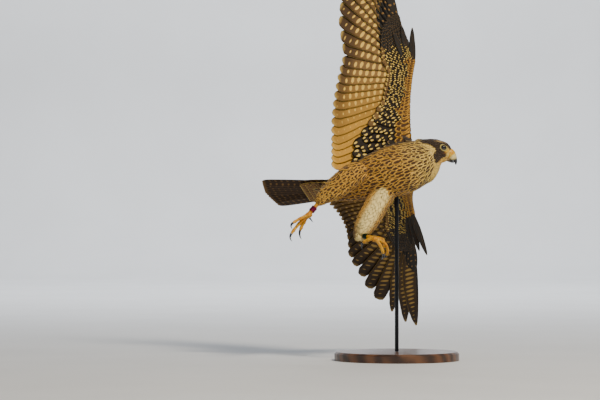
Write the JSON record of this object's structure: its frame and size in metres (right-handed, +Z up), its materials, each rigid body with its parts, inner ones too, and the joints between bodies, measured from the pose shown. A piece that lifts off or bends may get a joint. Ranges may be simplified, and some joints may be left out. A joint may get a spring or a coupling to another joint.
{
  "type": "peregrine falcon display model",
  "caption": "Life-size young falcon banking in flight with lowered legs, held over a flat round base by one short rod.",
  "frame": {"origin": "centre of the round base's underside", "axes": "+Z up, the bird flies towards +X and shows its underside to -Y"},
  "size_m": [0.4054, 0.5351, 0.9384],
  "materials": {
    "breast_feathers": "soft buff feathers with dark brown streaks",
    "head_feathers": "dense dark brown feathers with buff cheek and brow",
    "flight_feathers": "dark brown vanes barred with buff, faint sheen",
    "cere_skin": "waxy bare skin, dull yellow",
    "bill_horn": "smooth horn, pale yellow with a blue-black tip",
    "eye": "wet dark brown eye",
    "foot_skin": "scaly yellow skin",
    "claw_horn": "glossy black horn",
    "crimson_band": "satin anodised band, crimson",
    "green_band": "satin anodised band, dark green",
    "stand_wood": "satin varnished dark wood",
    "stand_steel": "satin blackened steel"
  },
  "bodies": {
    "root": {"torso": "breast_feathers", "neck": "breast_feathers", "head": "head_feathers", "cere": "cere_skin", "bill_upper": "bill_horn", "bill_lower": "bill_horn", "eye_right": "eye", "eye_left": "eye", "wing_right": "flight_feathers", "wing_left": "flight_feathers", "tail": "flight_feathers", "thigh_right": "breast_feathers", "tarsus_right": "foot_skin", "foot_right": "foot_skin", "leg_band_right": "crimson_band", "thigh_left": "breast_feathers", "tarsus_left": "foot_skin", "foot_left": "foot_skin", "leg_band_left": "green_band", "claw_right_inner": "claw_horn", "claw_right_middle": "claw_horn", "claw_right_outer": "claw_horn", "claw_right_hind": "claw_horn", "claw_left_inner": "claw_horn", "claw_left_middle": "claw_horn", "claw_left_outer": "claw_horn", "claw_left_hind": "claw_horn", "stand_base": "stand_wood", "stand_rod": "stand_steel"}
  },
  "joints": []
}
